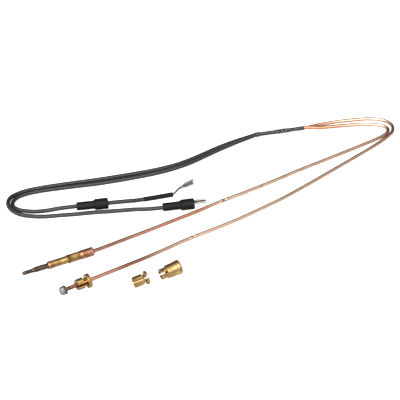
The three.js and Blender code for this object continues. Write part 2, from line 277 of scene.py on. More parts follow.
class Finish:
    """A material with one Principled shader, and short calls for the nodes that feed it."""

    def __init__(self, name, metallic=0.0, **sockets):
        self.material = bpy.data.materials.new(name)
        self.material.use_nodes = True
        self.nodes = self.material.node_tree.nodes
        self.links = self.material.node_tree.links
        self.shader = self.nodes["Principled BSDF"]
        self.shader.inputs["Metallic"].default_value = metallic
        for socket, value in sockets.items():
            self.shader.inputs[socket.replace("_", " ")].default_value = value
        self.coordinates = self.nodes.new("ShaderNodeTexCoord")

    def noise(self, scale, stretch=(1, 1, 1), detail=4.0, space="Object"):
        mapping = self.nodes.new("ShaderNodeMapping")
        mapping.inputs["Scale"].default_value = stretch
        texture = self.nodes.new("ShaderNodeTexNoise")
        texture.inputs["Scale"].default_value = scale
        texture.inputs["Detail"].default_value = detail
        texture.inputs["Roughness"].default_value = 0.55
        self.links.new(self.coordinates.outputs[space], mapping.inputs["Vector"])
        self.links.new(mapping.outputs["Vector"], texture.inputs["Vector"])
        return texture.outputs["Fac"]

    def ramp(self, value, *stops):
        node = self.nodes.new("ShaderNodeValToRGB")
        elements = node.color_ramp.elements
        for _ in range(len(stops) - 2):
            elements.new(0.5)
        for element, (position, colour) in zip(elements, stops):
            element.position = position
            element.color = colour
        self.links.new(value, node.inputs["Fac"])
        return node.outputs["Color"]

    def feed(self, socket, value):
        """Links another node's output to a socket, or sets a plain value on it."""
        if hasattr(value, "is_linked"):
            self.links.new(value, socket)
        else:
            socket.default_value = value

    def multiply(self, factor, first, second):
        """The first colour darkened by the second, by a share of factor."""
        node = self.nodes.new("ShaderNodeMix")
        node.data_type = "RGBA"
        node.blend_type = "MULTIPLY"
        self.feed(node.inputs["Factor"], factor)
        self.feed(node.inputs["A"], first)
        self.feed(node.inputs["B"], second)
        return node.outputs["Result"]

    def math(self, operation, *values):
        node = self.nodes.new("ShaderNodeMath")
        node.operation = operation
        for socket, value in zip(node.inputs, values):
            self.feed(socket, value)
        return node.outputs["Value"]

    def uv(self):
        split = self.nodes.new("ShaderNodeSeparateXYZ")
        self.links.new(self.coordinates.outputs["UV"], split.inputs["Vector"])
        return split.outputs["X"], split.outputs["Y"]

    def span(self, value, low, high, out_low, out_high):
        node = self.nodes.new("ShaderNodeMapRange")
        node.inputs["From Min"].default_value = low
        node.inputs["From Max"].default_value = high
        node.inputs["To Min"].default_value = out_low
        node.inputs["To Max"].default_value = out_high
        self.links.new(value, node.inputs["Value"])
        return node.outputs["Result"]

    def colour(self, output):
        self.links.new(output, self.shader.inputs["Base Color"])

    def rough(self, output):
        self.links.new(output, self.shader.inputs["Roughness"])

    def bump(self, height, distance, strength=1.0):
        node = self.nodes.new("ShaderNodeBump")
        node.inputs["Strength"].default_value = strength
        node.inputs["Distance"].default_value = distance
        self.links.new(height, node.inputs["Height"])
        previous = self.shader.inputs["Normal"].links
        if previous:
            self.links.new(previous[0].from_socket, node.inputs["Normal"])
        self.links.new(node.outputs["Normal"], self.shader.inputs["Normal"])


def metal(name, bright, middle, dark, low=0.2, high=0.42, grain=900.0, dents=0.00006):
    """A handled metal: patches of tarnish, fine grain, and a roughness between low and high.

    The three tones are 0 to 255 on screen, grain is a noise scale and dents a depth in metres.
    """
    finish = Finish(name, metallic=1.0)
    patches = finish.noise(140, detail=5)
    fine = finish.noise(grain, detail=3)
    tarnish = finish.ramp(patches, (0.32, linear(*dark)), (0.5, linear(*middle)), (0.68, linear(*bright)))
    speckle = finish.ramp(fine, (0.35, (0.62, 0.6, 0.58, 1)), (0.55, WHITE))
    finish.colour(finish.multiply(0.6, tarnish, speckle))
    finish.rough(finish.span(patches, 0.3, 0.7, high, low))
    finish.bump(finish.noise(420, detail=2), dents)
    finish.bump(fine, 0.00001, 0.5)
    return finish.material


def copper_tube(name, turns, *tones):
    """Drawn copper, hand-bent: lengthwise streaks, tarnish in patches and small dents.

    tones are (share of the length, colour), painted shade at a kink among them, and turns is the length in
    circumferences.
    """
    finish = Finish(name, metallic=1.0)
    streaks = finish.noise(3.0, (3.0, 0.12, 1), 4, "UV")
    patches = finish.noise(75, detail=6)
    spots = finish.noise(520, detail=3)
    _, along = finish.uv()
    base = finish.ramp(finish.span(along, 0, turns, 0, 1), *tones)
    patch_tone = finish.ramp(
        patches, (0.3, (0.72, 0.66, 0.62, 1)), (0.46, (0.97, 0.96, 0.95, 1)), (0.65, (1.1, 1.12, 1.14, 1)))
    streak_tone = finish.ramp(streaks, (0.32, (0.76, 0.72, 0.7, 1)), (0.5, WHITE))
    spot_tone = finish.ramp(spots, (0.3, (0.6, 0.55, 0.52, 1)), (0.42, WHITE))
    patched = finish.multiply(0.6, base, patch_tone)
    streaked = finish.multiply(0.5, patched, streak_tone)
    finish.colour(finish.multiply(0.45, streaked, spot_tone))
    finish.rough(finish.span(spots, 0.3, 0.7, 0.26, 0.14))
    finish.bump(finish.noise(110, detail=2), 0.0003, 0.35)
    finish.bump(streaks, 0.00002)
    return finish.material


def braided_sleeving():
    """Woven glass sleeving, charcoal: two sets of yarns crossing round the wire, with painted shade in the
    hollows between them.
    """
    finish = Finish("braided_sleeving", Specular_IOR_Level=0.6)
    around, along = finish.uv()
    yarns = 8 * 2 * math.pi  # eight yarns each way round the wire
    right = finish.math("SINE", finish.math("MULTIPLY", finish.math("ADD", around, along), yarns))
    left = finish.math("SINE", finish.math("MULTIPLY", finish.math("SUBTRACT", around, along), yarns))
    weave = finish.span(finish.math("MULTIPLY", right, left), -1, 1, 0, 1)
    # the weave's own pattern, with painted shade: darkest in the hollows between the yarns, where the bump is
    # lowest
    tone = finish.ramp(
        weave, (0.1, linear(14, 13, 13)), (0.55, linear(26, 24, 24)), (0.95, linear(46, 43, 42)))
    worn = finish.noise(70, detail=5)
    wear = finish.ramp(worn, (0.35, (0.8, 0.78, 0.77, 1)), (0.65, (1.15, 1.13, 1.12, 1)))
    finish.colour(finish.multiply(1.0, tone, wear))
    finish.rough(finish.span(weave, 0, 1, 0.5, 0.32))
    finish.bump(weave, 0.00012)
    return finish.material


def glossy_shrink():
    """Heat-shrunk tubing: near black and glossy, with soft ripples."""
    finish = Finish("glossy_shrink", Specular_IOR_Level=0.5, Coat_Weight=0.6, Coat_Roughness=0.06)
    ripples = finish.noise(260, detail=3)
    finish.colour(finish.ramp(ripples, (0.35, linear(4, 4, 4)), (0.7, linear(9, 8, 8))))
    finish.rough(finish.span(finish.noise(700), 0.3, 0.7, 0.3, 0.16))
    finish.bump(ripples, 0.00025, 0.5)
    return finish.material


def soft_plastic(name, dark, pale, roughness, grain=1400.0):
    """Moulded soft plastic: a fine grain and a faint dusty bloom."""
    finish = Finish(name, Specular_IOR_Level=0.25)
    finish.colour(finish.ramp(finish.noise(190, detail=6), (0.35, linear(*dark)), (0.68, linear(*pale))))
    finish.rough(finish.span(finish.noise(grain), 0.3, 0.7, roughness + 0.12, roughness - 0.06))
    finish.bump(finish.noise(grain, detail=2), 0.00004, 0.6)
    return finish.material


def studio_floor():
    """A light table: white to the camera, and greyer to the object, so round things keep a dark edge."""
    finish = Finish(
        "studio_floor", Specular_IOR_Level=0.0, Roughness=1.0, Base_Color=(0.5, 0.5, 0.5, 1),
        Emission_Color=WHITE)
    seen = finish.nodes.new("ShaderNodeLightPath").outputs["Is Camera Ray"]
    finish.links.new(finish.span(seen, 0, 1, 0.1, 1), finish.shader.inputs["Emission Strength"])
    return finish.material


PINK = linear(236, 190, 166)
PEACH = linear(246, 212, 184)
ORANGE = linear(224, 160, 122)
RUSSET = linear(208, 150, 130)
# painted shade: the darker tone that marks the sensor lead's kink, standing in for the shade of its nick
KINK_SHADE = linear(150, 96, 80)
GOLD = linear(226, 170, 96)
SENSOR_COPPER = copper_tube(
    "sensor_copper", 42,
    # the stop between the two PEACH stops is painted shade at the sensor lead's kink
    (0.0, PINK), (0.04, RUSSET), (0.2, RUSSET), (0.3, ORANGE), (0.356, PEACH), (0.361, KINK_SHADE), (0.366, PEACH),
    (0.85, PINK), (0.93, ORANGE),
)
MAGNET_COPPER = copper_tube(
    "magnet_copper", 45,
    (0.0, GOLD), (0.026, GOLD), (0.032, RUSSET), (0.12, RUSSET), (0.17, PINK), (0.246, PEACH),
    # the ORANGE stop between the two PEACH stops is painted shade at the magnet lead's kink
    (0.249, ORANGE), (0.252, PEACH), (0.88, PINK), (0.94, ORANGE),
)
BRASS = metal("brass", (220, 188, 132), (192, 158, 104), (144, 116, 74))
DARK_BRASS = metal("tarnished_brass", (186, 150, 94), (154, 120, 74), (106, 80, 50), low=0.28, high=0.46)
PINK_BRASS = metal("copper_washed_brass", (212, 166, 138), (186, 134, 108), (140, 96, 72))
FERRULE = metal("drawn_copper", (182, 130, 112), (150, 98, 82), (104, 64, 54), low=0.3, high=0.5)
STEEL = metal(
    "scaled_steel", (112, 94, 80), (76, 62, 52), (44, 34, 28), low=0.4, high=0.62, grain=700, dents=0.00012)
BRIGHT = metal("bright_steel", (168, 156, 144), (118, 106, 94), (70, 60, 52), low=0.3, high=0.5)
TINNED = metal("tinned", (186, 184, 180), (168, 165, 160), (132, 128, 122), low=0.36, high=0.5)
SOLDER = metal("solder", (170, 166, 156), (136, 132, 122), (96, 92, 84), low=0.3, high=0.5)
SILVER = metal(
    "hammered_silver", (196, 191, 187), (170, 165, 161), (122, 118, 114), low=0.42, high=0.6, grain=500,
    dents=0.0004)
SLEEVING = braided_sleeving()
SHRINK = glossy_shrink()
COVER = soft_plastic("cover_rubber", (3, 3, 3), (9, 8, 8), roughness=0.6)
FIBRE = soft_plastic("washer_fibre", (48, 50, 40), (86, 86, 70), roughness=0.75, grain=900)
CORE = soft_plastic("core_insulation", (190, 184, 168), (222, 216, 202), roughness=0.75)

# ---- places of the fittings, in the row frame, millimetres and degrees ----
SENSOR = place(-140.4, -80.4, 3.85, yaw=25.4)
MAGNET = place(-128.3, -112.6, 6.0, yaw=30)
GLAND_NUT = place(-128.3, -112.6, 6.0, yaw=30, roll=52)
JOINT = place(57.3, 92.7, 3.8, yaw=12.5, roll=-40)
COVER_A = place(-107.8, -7.4, 4.8, yaw=9)
COVER_B = place(-34.3, -8.2, 4.8, yaw=10)
TERMINAL_A = place(-32.8, 17.2, 2.95, yaw=33.5, roll=70)


def at(matrix, x, y=0.0, z=0.0):
    """A point of a fitting's frame, in millimetres of the row frame."""
    return tuple((matrix @ Vector((x, y, z))) / MM)


# ---- routes of the leads and wires, as in the CAD, in millimetres ----
SENSOR_LEAD = [
    at(SENSOR, 14), at(SENSOR, 41),
    (-97.5, -59.4, 3.4), (-90, -54.6, 2.9), (-81.5, -49.1, 2.3), (-73, -43.8, 1.8), (-55.5, -33.7, 1.6),
    (-36.3, -22.7, 1.6), (-19.4, -12.8, 1.6), (1.2, 0, 1.6), (22, 11.6, 1.6), (45, 25.2, 1.6),
    (72, 41.9, 1.6), (94, 54.9, 1.6), (116, 67.8, 1.6), (131, 76.8, 1.6), (142, 83.8, 1.6),
    (148.8, 88.6, 1.6), (152.4, 92.3, 1.6), (154.1, 96, 1.6), (153.8, 99.2, 1.6), (151, 102, 1.7),
    (145.5, 103.8, 1.8), (133, 104.5, 2.1), (118, 102.6, 2.5), (103.6, 99.8, 3.2), (91, 97.4, 3.9),
    at(JOINT, LEAD_EXIT, -LEAD_SPACING), at(JOINT, LEAD_END, -LEAD_SPACING),
]
MAGNET_LEAD = [
    at(MAGNET, FERRULE_END + GAP), at(MAGNET, 50),
    (-78, -83.2, 5.7), (-71, -78, 4.7), (-64, -72.9, 3.6), (-55, -66.3, 2.6), (-46, -59.9, 1.9),
    (-26, -46.6, 1.6), (-6, -35.3, 1.6), (14.5, -23.3, 1.6), (35.2, -9.6, 1.6), (56.3, 5.2, 1.6),
    (77.8, 22.4, 1.6), (100, 40.9, 1.6), (122.4, 59.6, 1.6), (137.7, 72.7, 1.6), (147.4, 81.7, 1.6),
    (153.9, 88.6, 1.6), (157.6, 94.1, 1.6), (158.8, 99.1, 1.6), (158.1, 104.1, 1.6), (155, 108.3, 1.6),
    (149, 111.6, 1.6), (138.2, 113, 1.6), (119, 110.6, 1.6), (104, 107.6, 1.6), (91.2, 103.8, 1.9),
    at(JOINT, LEAD_EXIT, LEAD_SPACING), at(JOINT, LEAD_END, LEAD_SPACING),
]
WIRE_A = [
    at(JOINT, WIRE_END, -WIRE_SPACING), at(JOINT, WIRE_EXIT, -WIRE_SPACING),
    (29.5, 83.3, 4.8), (24, 80.4, 4.6), (13.5, 74.2, 4.4),
    (3, 67.5, 4.2), (-8, 60.1, 4), (-18.5, 52.7, 3.8), (-29, 46.2, 3.6), (-40, 41, 3.3),
    (-54, 35.9, 2.9), (-68, 32, 2.5), (-85.5, 27.6, 2.1), (-104.5, 23.3, 1.8), (-123.5, 19.8, 1.8),
    (-140.5, 16.5, 1.8), (-154, 13.5, 1.8), (-164, 10.4, 1.8), (-171, 6.8, 1.8), (-175, 2.6, 1.8),
    (-176.6, -2.2, 1.8), (-175.2, -7, 1.8), (-171, -10.3, 1.8), (-163.5, -12.2, 1.8),
    (-155.5, -12.9, 2), (-145, -12.9, 3.4), at(COVER_A, -27), at(COVER_A, 29),
    (-73, -1.4, 4.1), (-64.5, 1.6, 2.9), (-57.5, 3.8, 2.4), (-49.5, 5.9, 2.4), (-40.6, 8.2, 2.4),
]
WIRE_A_TAIL = [
    (-40.6, 8.2, 2.4), (-38.6, 9.6, 2.4), (-36.9, 11.9, 2.7), (-35.2, 14.1, 2.95), at(TERMINAL_A, 0.5),
    at(TERMINAL_A, CRIMP - 1),
]
WIRE_B = [
    at(JOINT, WIRE_END, WIRE_SPACING), at(JOINT, WIRE_EXIT, WIRE_SPACING),
    (28.5, 86.8, 2.1), (22.8, 84.3, 1.9), (12, 78.9, 1.8),
    (1, 72.5, 1.8), (-10, 65.2, 1.8), (-20.5, 58.1, 1.8), (-31, 51.6, 1.8), (-41.5, 46.6, 1.8),
    (-55.5, 41.5, 1.8), (-69, 37.6, 1.8), (-86.5, 33.2, 1.8), (-105.5, 28.5, 1.8),
    (-124.5, 24.6, 1.8), (-141.5, 20.9, 1.8), (-155, 17.5, 1.8), (-166, 13.9, 1.9),
    (-173, 9.9, 2.2), (-178, 5, 2.8), (-180.2, -1.5, 3.4), (-179.4, -7.4, 3.4), (-175.8, -12.6, 2.8),
    (-169, -16.6, 2.1), (-160, -18.5, 1.8), (-148, -19, 1.8), (-135, -17.5, 1.8),
    (-120.5, -15.9, 1.8), (-107, -13.9, 1.8), (-94.5, -12.7, 1.8), (-83, -11.8, 2.2),
    (-71, -12.1, 3.8), at(COVER_B, -26), at(COVER_B, 1), at(COVER_B, 8.8, 1.2, 1.1),
]


def smooth_route(points, step):
    """Even points on the centripetal Catmull-Rom curve through a route, in metres."""
    p = [Vector(q) * MM for q in points]
    p = [p[0] * 2 - p[1]] + p + [p[-1] * 2 - p[-2]]
    fine = []
    for a, b, c, d in zip(p, p[1:], p[2:], p[3:]):
        t1 = (b - a).length ** 0.5
        t2 = t1 + (c - b).length ** 0.5
        t3 = t2 + (d - c).length ** 0.5
        for k in range(SPAN_SAMPLES):
            t = t1 + (t2 - t1) * k / SPAN_SAMPLES
            ab = a * ((t1 - t) / t1) + b * (t / t1)
            bc = b * ((t2 - t) / (t2 - t1)) + c * ((t - t1) / (t2 - t1))
            cd = c * ((t3 - t) / (t3 - t2)) + d * ((t - t2) / (t3 - t2))
            abc = ab * ((t2 - t) / t2) + bc * (t / t2)
            bcd = bc * ((t3 - t) / (t3 - t1)) + cd * ((t - t1) / (t3 - t1))
            fine.append(abc * ((t2 - t) / (t2 - t1)) + bcd * ((t - t1) / (t2 - t1)))
    fine.append(p[-2])
    lengths = np.cumsum([0.0] + [(b - a).length for a, b in zip(fine, fine[1:])])
    count = max(8, round(lengths[-1] / step))
    wanted = np.linspace(0, lengths[-1], count + 1)
    return np.array([np.interp(wanted, lengths, [q[i] for q in fine]) for i in range(3)]).T


def tube(route, radius, around=20, step=0.0012, swell=None):
    """Vertices, faces, UVs and centreline of a round rod along a route. The radius is in millimetres.

    UVs count circumferences, round and along. swell(s, angle) is a share of the radius, s in metres.
    """
    path = smooth_route(route, step)
    tangents = np.gradient(path, axis=0)
    tangents /= np.linalg.norm(tangents, axis=1)[:, None]
    side = np.cross(tangents[0], (0, 0, 1))
    vertices, uv = [], []
    travelled = 0.0
    for i, (centre, tangent) in enumerate(zip(path, tangents)):
        side = side - tangent * side.dot(tangent)
        side /= np.linalg.norm(side)
        up = np.cross(side, tangent)
        if i:
            travelled += np.linalg.norm(centre - path[i - 1])
        for k in range(around + 1):
            angle = 2 * math.pi * k / around
            r = radius * MM * (1 + (swell(travelled, angle) if swell else 0))
            vertices.append(centre + side * r * math.cos(angle) + up * r * math.sin(angle))
            uv.append((k / around, travelled / (2 * math.pi * radius * MM)))
    faces = grid_faces(len(path), around + 1, wrap_columns=False)
    for row in (0, len(path) - 1):
        faces.append(tuple(row * (around + 1) + k for k in range(around)))
    return vertices, faces, uv, path


def welded(made):
    """Joins the seam of a tube, whose first and last columns lie on each other."""
    face_outward(made.data, weld=True)
    return made


def hand_bent(seed, size, kink=None):
    """A slight unevenness along a lead or wire, the same at each run, with a nick where it has a kink."""

    def swell(s, angle):
        there = Vector((s * 90, math.cos(angle) * 0.6 + seed, math.sin(angle) * 0.6))
        nick = 0.0
        if kink is not None:
            off = (s - kink) / KINK_HALF_WIDTH
            shoulder = math.exp(-((abs(off) - 1.9) ** 2))
            nick = -KINK_DEPTH * math.exp(-off * off) + KINK_SHOULDER * shoulder
        return size * noise.noise(there) + nick

    return swell


def add_leads():
    leads = [
        ("sensor_lead", SENSOR_LEAD, "sensor_lead_tube", SENSOR_COPPER, SENSOR_KINK),
        ("magnet_lead", MAGNET_LEAD, "magnet_lead_tube", MAGNET_COPPER, MAGNET_KINK),
    ]
    for seed, (name, route, node, material, kink) in enumerate(leads):
        vertices, faces, uv, path = tube(route, LEAD_RADIUS, swell=hand_bent(seed * 7, 0.05, kink))
        lead = welded(piece(name, vertices, faces, material, "leads", [node], uv=uv))


def add_wires():
    wires = [("wire_a", WIRE_A, "wire_a_sleeving"), ("wire_b", WIRE_B, "wire_b_sleeving")]
    made = {}
    for seed, (name, route, node) in enumerate(wires):
        vertices, faces, uv, path = tube(route, WIRE_RADIUS, swell=hand_bent(seed * 5 + 3, 0.04))
        wire = welded(piece(name, vertices, faces, SLEEVING, "leads", [node], uv=uv))
        made[name] = wire, path
    return made


def add_wire_ends():
    """The bare tail of wire A, and the second sleeve over the wire's last stretch."""
    vertices, faces, uv, _ = tube(WIRE_A_TAIL, 0.8, around=12)
    tail = piece("wire_a_tail", vertices, faces, SOLDER, "leads", ["wire_a_conductor"], uv=uv)
    route = WIRE_A[-4:] + [(-39.4, 8.5, 2.4)]
    vertices, faces, uv, _ = tube(route, END_SLEEVE_RADIUS, around=24, step=0.0006, swell=end_sleeve_shape)
    sleeve = piece("wire_a_sleeve", vertices, faces, COVER, "leads", ["wire_a_end_sleeve"], uv=uv)
    return [welded(tail), welded(sleeve)]


def end_sleeve_shape(s, angle):
    """Heat-shrunk ends: a little narrower at both ends, with slow ripples."""
    end = min(s, max(0.0, END_SLEEVE_LENGTH * MM - s)) / MM
    ripple = noise.noise(Vector((s * 400, math.cos(angle), math.sin(angle))))
    return -0.08 * max(0.0, 1 - end) + 0.03 * ripple


# ---- the sensor end ----
def pitted(depth, scale=0.9, seed=0.0):
    """A radius change for scale and tool marks on a turned piece."""

    def change(x, angle, r):
        there = Vector((x * scale, r * math.cos(angle) * scale + seed, r * math.sin(angle) * scale))
        return r + depth * noise.noise(there)

    return change


def add_probe():
    """The thin tip, the sheath behind it and the weld between them."""
    rod, neck, sheath, bore = 1.6, 1.1, 2.25, 1.4
    tip = softened([
        (-22.3, 0), (-22.2, 0.7), (-21.5, 1.38), (-20.7, rod), (-13.6, rod), (-13.6, neck), (-12.4, neck),
        (-12.4, 0),
    ], 0.3)
    vertices, faces = lathe(refined(tip, 0.5), around=40, shape=pitted(0.14))
    piece("hot_tip", vertices, faces, STEEL, "leads", ["hot_junction_tip"], SENSOR)
    outer = softened([(-13.3, 1.5), (-13.3, 1.8), (-10, sheath), (12, sheath), (12, 1.42)], 0.2)
    vertices, faces = lathe(refined(outer, 0.5), [(-13.3, bore), (12, bore)], 48, pitted(0.14, seed=4))
    piece("sheath", vertices, faces, STEEL, "leads", ["probe_sheath"], SENSOR)
    weld = [(-13.75, 1.62), (-13.5, 1.85), (-13.1, 1.98), (-12.6, 1.96), (-12.3, 1.9)]
    vertices, faces = lathe(softened(weld, 0.2), [(-13.75, 1.56), (-12.3, 1.7)], 40, pitted(0.12, 1.6))
    piece("tip_weld", vertices, faces, BRIGHT, "leads", matrix=SENSOR)


def hexagon(start, end, across):
    """Six flats, across apart, between two places along X."""

    def change(x, angle, r):
        if not start < x < end:
            return r
        off = (angle + math.pi / 6) % (math.pi / 3) - math.pi / 6
        return min(r, across / 2 / math.cos(off))

    return change


def add_sensor_sleeve():
    """The brass sleeve with its washed nose, the collar with its washed shell, and the lead's seal."""
    sleeve, spigot, ring, waist, across_flats, lead_bore = 3.2, 2.5, 3.8, 3.6, 6.7, 1.9
    outer = [
        (0, 2.6), (0, 2.95), (0.3, 3.15), (1.2, sleeve), (17.3, sleeve), (17.3, spigot), (25, spigot),
        (25, 1.95),
    ]
    bore = [(0, 2.55), (12.5, 2.55), (12.5, lead_bore), (25, lead_bore)]
    vertices, faces = lathe(refined(softened(outer, 0.2), 0.8), bore, 72, pitted(0.04))
    piece("brass_sleeve", vertices, faces, BRASS, "leads", ["sensor_sleeve"], SENSOR)
    nose = softened(
        [(-0.12, 2.6), (-0.12, 2.96), (0.25, 3.18), (1.3, 3.28), (3.1, 3.28), (3.3, 3.16)], 0.12)
    vertices, faces = lathe(nose, [(-0.12, 2.56), (3.3, 3.1)], 72, pitted(0.05, 1.2))
    piece("sleeve_nose", vertices, faces, PINK_BRASS, "leads", matrix=SENSOR)
    outer = [
        (17.6, 2.85), (17.6, ring), (18.5, ring), (18.9, waist), (28.9, waist), (29.3, ring), (39.4, ring),
        (39.6, 3.6), (39.6, 1.95),
    ]
    bore = [(17.6, 2.8), (25.6, 2.8), (25.6, lead_bore), (39.6, lead_bore)]
    vertices, faces = lathe(refined(softened(outer, 0.18), 0.6), bore, 96, hexagon(19.2, 28.6, across_flats))
    piece("collar", vertices, faces, DARK_BRASS, "leads", ["sensor_collar"], SENSOR, sharp=20)
    shell = softened([
        (29.5, 3.7), (29.5, 3.82), (37.8, 3.82), (38.4, 3.88), (39.5, 3.86), (39.68, 3.6), (39.68, 2.6),
    ], 0.12)
    bore = [(29.5, 3.6), (38.9, 3.6), (39.68, 2.5)]
    vertices, faces = lathe(refined(shell, 0.8), bore, 72, pitted(0.04, seed=9))
    piece("collar_shell", vertices, faces, PINK_BRASS, "leads", matrix=SENSOR)
    seal = softened([(39.9, 1.95), (39.9, 2.3), (40.4, 2.2), (41, 1.97), (41, 1.92)], 0.15)
    vertices, faces = lathe(seal, [(39.9, lead_bore), (41, lead_bore)], 40, pitted(0.05, 1.5))
    piece("seal", vertices, faces, PINK_BRASS, "leads", ["lead_seal"], SENSOR)


# ---- the magnet end ----
def cut_away(made, cutters):
    """Cuts the cutters out of a piece, and removes them."""
    for cutter in cutters:
        modifier = made.modifiers.new("cut", "BOOLEAN")
        modifier.object = cutter
        modifier.solver = "EXACT"
    bpy.context.view_layer.update()
    whole = made.evaluated_get(bpy.context.evaluated_depsgraph_get())
    result = bpy.data.meshes.new_from_object(whole)
    made.modifiers.clear()
    made.data = result
    for cutter in cutters:
        bpy.data.objects.remove(cutter)
    result.shade_smooth()
    result.set_sharp_from_angle(angle=math.radians(SHARP_ANGLE))


def cutter(matrix, outline, low, high):
    """A prism to cut with: an outline of (x, y) points in a fitting's frame, between two heights."""
    count = len(outline)
    vertices = [(x, y, z) for z in (low, high) for x, y in outline]
    faces = [(k, (k + 1) % count, count + (k + 1) % count, count + k) for k in range(count)]
    faces += [tuple(range(count)), tuple(range(count, 2 * count))]
    mesh = bpy.data.meshes.new("cutter")
    mesh.from_pydata(vertices, [], faces)
    mesh.transform(matrix)
    face_outward(mesh)
    return linked("cutter", mesh)


def slot_cutter(matrix, x1, x2, width, low, high):
    half = width / 2
    return cutter(matrix, [(x1, -half), (x2, -half), (x2, half), (x1, half)], low, high)


def split_nut(
    name, node, body, matrix, *, barrel, length, neck, neck_length, head, head_length, bore, slot, driver=0
):
    """A turned nut with a threaded barrel, slit along barrel and neck.

    barrel, neck, head and bore are radii. slot and driver are the widths of the slit and of the slot for a
    driver in the head.
    """
    start = length + neck_length
    end = start + head_length
    outline = softened([
        (0, bore), (0, barrel - 0.7), (0.6, barrel), (length, barrel), (length + 0.1, neck),
        (start - 0.1, neck), (start, head), (end - 0.4, head), (end, head - 0.4), (end, bore),
    ], 0.25)
    inside = [(0.05, bore - 0.02), (end - 0.05, bore - 0.02)]
    ridges = thread(0.5, length - 0.3, pitch=1.0, depth=0.16)
    vertices, faces = lathe(refined(outline, 0.16), inside, 72, ridges)
    nut = piece(name, vertices, faces, BRASS, body, [node], matrix)
    cutters = [slot_cutter(matrix, -1, start - 0.02, slot, 0, head + 1)]
    if driver:
        cutters.append(slot_cutter(matrix, start - 0.4, end + 1, driver, -head - 1, head + 1))
    cut_away(nut, cutters)


def add_magnet_end():
    """The contact button, the washer, the grooved ferrule and the nut on the lead."""
    dome, rim, hub = 3.7, 3.75, 1.1
    button = softened([
        (0, 0), (0, 1.5), (0.4, 2.7), (1.2, 3.4), (2.2, dome), (3.6, dome), (4, 3.4), (4, hub), (2.5, hub),
        (2.5, 0),
    ], 0.3, 4)
    vertices, faces = lathe(refined(button, 0.2), around=72, shape=pitted(0.2, 1.5))
    piece("button", vertices, faces, SILVER, "leads", ["contact_button"], MAGNET)
    washer = softened([(4.3, 1.15), (4.3, rim), (5.3, rim), (5.3, 1.15)], 0.12)
    vertices, faces = lathe(washer, [(4.3, hub), (5.3, hub)], 56, pitted(0.06, 1.3))
    piece("washer", vertices, faces, FIBRE, "leads", ["insulating_washer"], MAGNET)
    outline = [(5.6, 1.05), (5.6, 1.7), (6.4, 1.75)]
    for groove in (7.4, 9.6, 11.8):
        outline += [(groove - 0.5, 1.68), (groove, 1.45), (groove + 0.5, 1.68)]
    outline += [(14.8, 1.62), (FERRULE_END, 1.48), (FERRULE_END, 1.05)]
    bore = [(5.6, 1.0), (FERRULE_END, 1.0)]
    vertices, faces = lathe(refined(softened(outline, 0.2), 0.5), bore, 40, pitted(0.05, 1.2))
    piece("ferrule", vertices, faces, FERRULE, "leads", ["lead_ferrule"], MAGNET)
    split_nut(
        "gland_nut_body", "gland_nut", "nut", GLAND_NUT @ Matrix.Translation((14.6, 0, 0)),
        barrel=4.75, length=6.2, neck=3.2, neck_length=2.9, head=6, head_length=3.2, bore=1.95, slot=3.6)


# ---- the joint ----
def oval_loft(stations, around=48):
    """A closed sleeve through stations of (x, half spacing, radius, dip). dip pinches it in the middle."""
    vertices = []
    for x, spacing, radius, dip in stations:
        for k in range(around):
            angle = 2 * math.pi * k / around
            y = spacing * math.tanh(3 * math.cos(angle)) + radius * math.cos(angle)
            middle = max(0.0, 1 - (y / (spacing + 0.4 * radius)) ** 2)
            z = radius * math.sin(angle) * (1 - dip * middle)
            vertices.append((x, y, z))
    faces = grid_faces(len(stations), around)
    for row in (0, len(stations) - 1):
        faces.append(tuple(range(row * around, (row + 1) * around)))
    return vertices, faces


def near(x, centre, reach):
    """1 at the centre, falling smoothly to nearly 0 at twice the reach."""
    return math.exp(-(((x - centre) / reach) ** 2))


def joint_radius(x):
    """Lumps over the splices, a waist ahead of them, a slight flare at the leads' end and rounded edges."""
    body = 2.02
    lumps = 0.22 * near(x, 0.5, 5.5) * (1 + math.sin(x * 1.7))
    waist = -0.16 * near(x, 11, 2.4)
    flare = 0.12 * near(x, 20, 1.6)
    edge = -0.5 * math.exp(-(min(x - SLEEVE_BACK, SLEEVE_FRONT - x) / 0.35))
    return body + lumps + waist + flare + edge


def joint_dip(x):
    """How far the sleeve sinks between the leads: deep along the wires' half, shallow at the leads' end."""
    return 0.5 - 0.34 / (1 + math.exp(-(x - 8) / 1.5))


def add_joint():
    """The shrunk sleeve over the splices, wrinkled most over their middle, and the collar on the wires."""
    along = np.linspace(SLEEVE_BACK, SLEEVE_FRONT, 160)
    vertices, faces = oval_loft([(x, LEAD_SPACING, joint_radius(x), joint_dip(x)) for x in along])
    rippled = []
    for x, y, z in vertices:
        ripple = 0.03 + 0.24 * near(x, 1, 5.5)
        wide = 1 + 0.5 * ripple * noise.noise(Vector((x * 0.9, y * 0.5, z)))
        high = 1 + 1.6 * ripple * noise.noise(Vector((x * 0.8 + 5, y * 0.7, z * 0.5)))
        rippled.append((x, y * wide, z * high))
    piece("joint_sleeve", rippled, faces, SHRINK, "leads", ["joint_shrink_sleeve"], JOINT)
    ends = [(-23.4, 2.2), (-23.25, 2.4), (-22.9, 2.5), (-21.5, 2.5), (-21.05, 2.42), (-20.9, 2.2)]
    vertices, faces = oval_loft([(x, WIRE_SPACING, r, 0.42) for x, r in ends])
    piece("joint_collar", vertices, faces, SHRINK, "leads", ["joint_end_collar"], JOINT)


